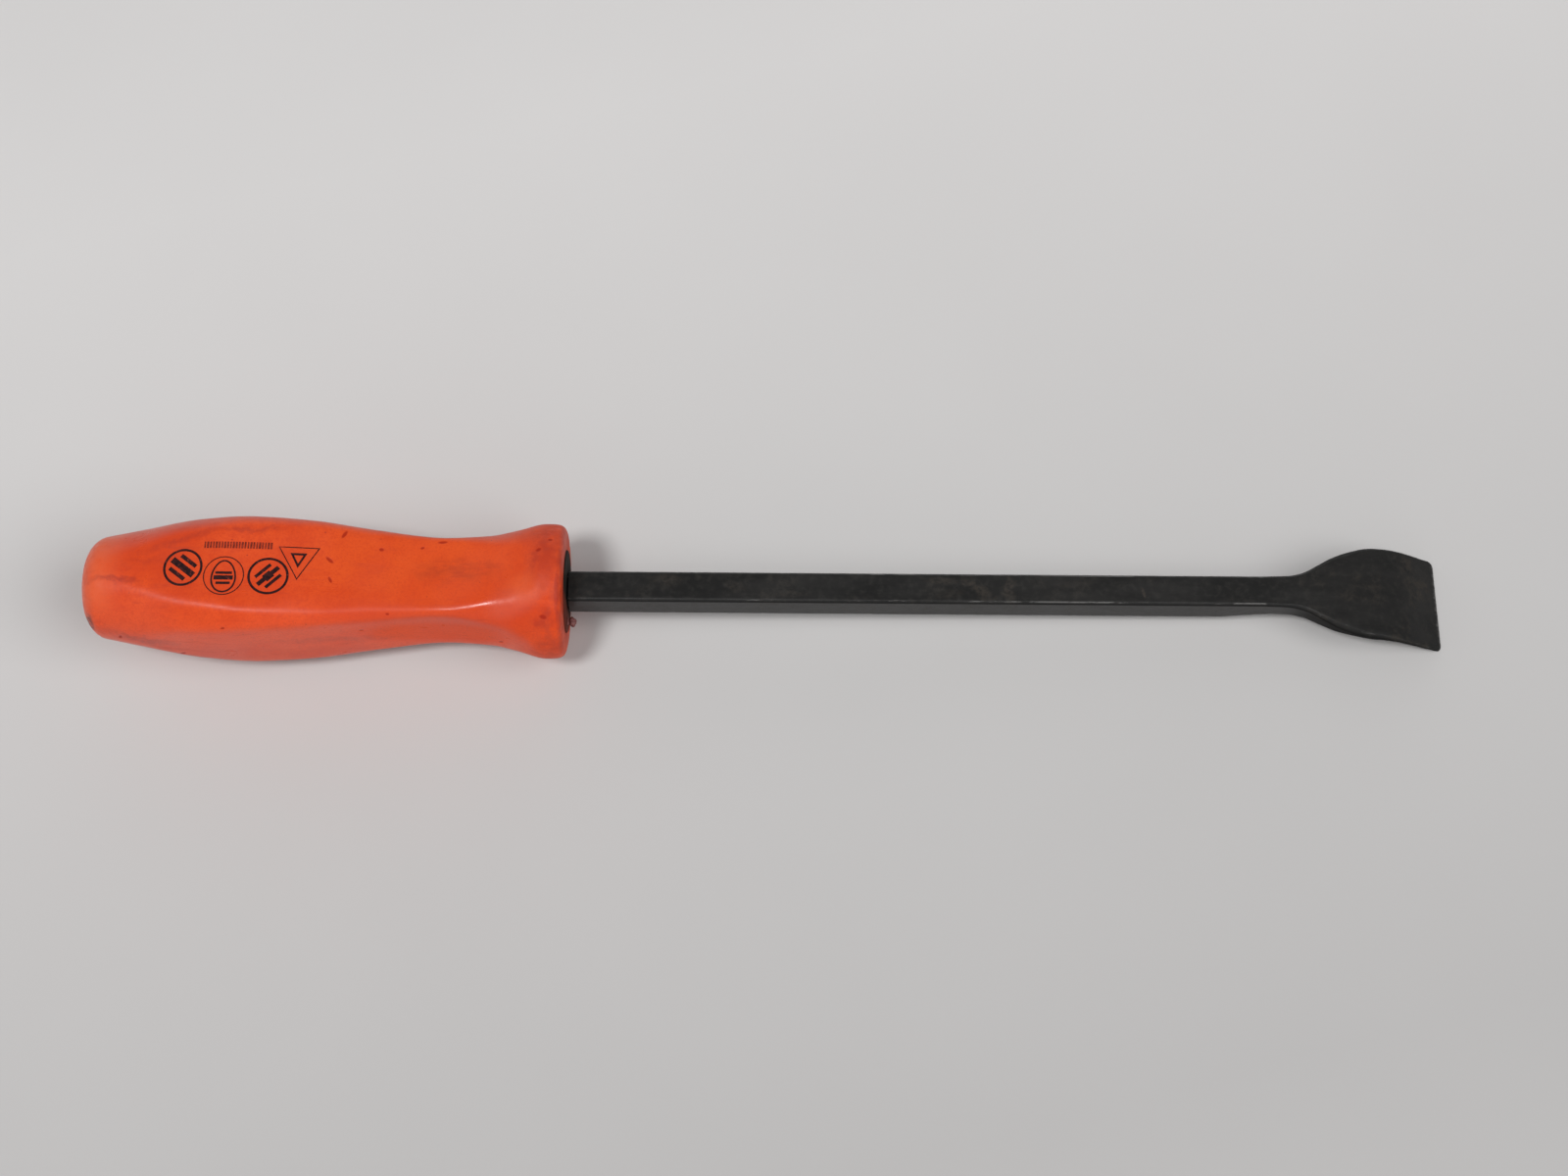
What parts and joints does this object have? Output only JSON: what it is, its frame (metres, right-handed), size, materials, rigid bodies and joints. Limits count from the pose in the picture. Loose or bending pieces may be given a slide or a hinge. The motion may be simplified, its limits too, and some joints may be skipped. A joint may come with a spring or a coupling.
{
  "type": "pry bar",
  "caption": "Hand pry bar: square steel shank, thin flared tip bent down for scraping and lifting, and a waisted plastic screwdriver-style grip with flats.",
  "frame": {"origin": "centre of the flat spot on the grip's butt, on the axis of the tool", "axes": "+X runs along the tool from butt to tip, +Z is normal to the shank's top flat, the tip bends towards -Z"},
  "size_m": [0.3311, 0.033, 0.033],
  "materials": {
    "grip_plastic": "solid orange cellulose-type plastic, semi-gloss, with dark printed marks, rubbed-in grime and small nicks",
    "washer_steel": "dull black oxide",
    "blade_steel": "black oxide over forged steel, satin, edges rubbed brighter and brown patches of wear"
  },
  "bodies": {
    "root": {"handle": "grip_plastic", "front_washer": "washer_steel", "blade": "blade_steel"}
  },
  "joints": []
}
